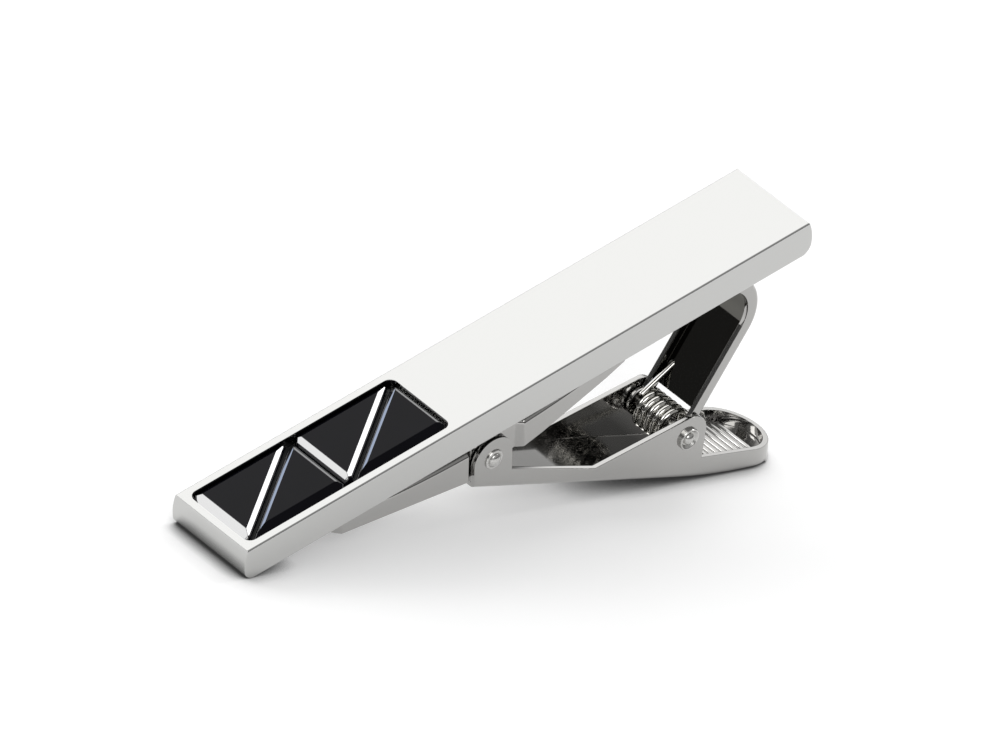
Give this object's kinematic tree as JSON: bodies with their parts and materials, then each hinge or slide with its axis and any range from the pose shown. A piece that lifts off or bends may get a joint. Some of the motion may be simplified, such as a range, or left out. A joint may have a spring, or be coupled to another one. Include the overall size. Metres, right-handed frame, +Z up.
{
  "type": "hinged tie clip",
  "caption": "Slim plated tie clip with black faceted stones set in one end and a sprung hinged jaw and thumb lever behind the bar.",
  "frame": {"origin": "on the table, under the middle of the clip's bounding box", "axes": "+X along the clip towards the thumb pad's end, +Y across it to the back, +Z up; the clip stands on its bar's lower end edge and on its lever, so the bar climbs 21.6 degrees towards +X"},
  "size_m": [0.0618, 0.0084, 0.0238],
  "materials": {
    "plated_bar": "polished rhodium plate",
    "plated_sheet": "bright nickel plate",
    "rivet_metal": "bright nickel plate",
    "spring_wire": "drawn nickel-plated wire",
    "solder": "satin silver solder",
    "black_resin": "glossy",
    "black_stone": "polished facets"
  },
  "bodies": {
    "lever": {"lever": "plated_sheet", "jaw_pin": "rivet_metal", "lever_pin": "rivet_metal"},
    "bar_and_strut": {"bar": "plated_bar", "inlay_bed": "black_resin", "stone_end_back": "black_stone", "stone_end_front": "black_stone", "stone_inner_back": "black_stone", "stone_inner_front": "black_stone", "strut": "plated_sheet", "solder": "solder", "spring": "spring_wire"},
    "jaw": {"jaw": "plated_sheet"}
  },
  "joints": [
    {"name": "lever_hinge", "type": "hinge", "parent": "lever", "child": "bar_and_strut", "pos_m": [0.0181, 0, 0.00432], "axis": [0, 1, 0], "range_deg": [0, 25], "stiffness_Nm_per_rad": 0.012, "springref_deg": -68.75, "deforming": ["spring"]},
    {"name": "jaw_swivel", "type": "hinge", "parent": "lever", "child": "jaw", "pos_m": [-0.00442, 0, 0.00605], "axis": [0, -1, 0], "range_deg": [-25.5, 0.5]}
  ],
  "couplings": [
    {"joint": "jaw_swivel", "follows": "lever_hinge", "ratio": -1}
  ]
}
